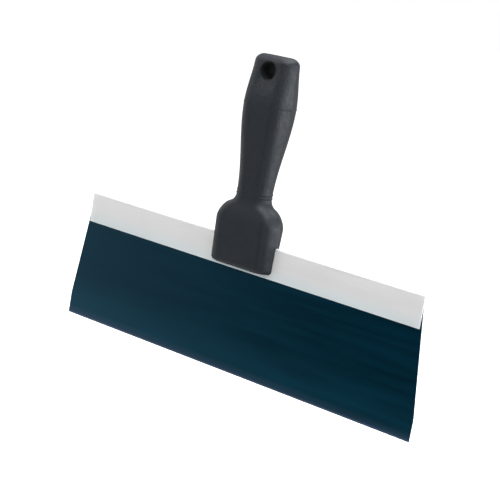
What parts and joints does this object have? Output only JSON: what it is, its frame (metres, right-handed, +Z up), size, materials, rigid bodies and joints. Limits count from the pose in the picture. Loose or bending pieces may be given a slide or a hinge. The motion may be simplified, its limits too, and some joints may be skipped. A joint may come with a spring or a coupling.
{
  "type": "drywall taping knife",
  "caption": "Wide taping knife: blued steel blade in a folded metal backing strip, with a forked black moulded handle and hang hole.",
  "frame": {"origin": "middle of the blade's working edge, on the blade's middle plane", "axes": "+X along the working edge, +Y towards the back face where the screw heads are, +Z up the handle to the hang hole"},
  "size_m": [0.3048, 0.0254, 0.2225],
  "materials": {
    "blued_steel": "satin blue temper colour with a fine lengthwise grind",
    "strip_metal": "pale satin rolled metal",
    "handle_plastic": "moulded, pebbled grain on the grip",
    "screw_steel": "zinc plated"
  },
  "bodies": {
    "root": {"blade": "blued_steel", "backing_strip": "strip_metal", "handle": "handle_plastic", "handle_screw_left": "screw_steel", "handle_screw_right": "screw_steel"}
  },
  "joints": []
}
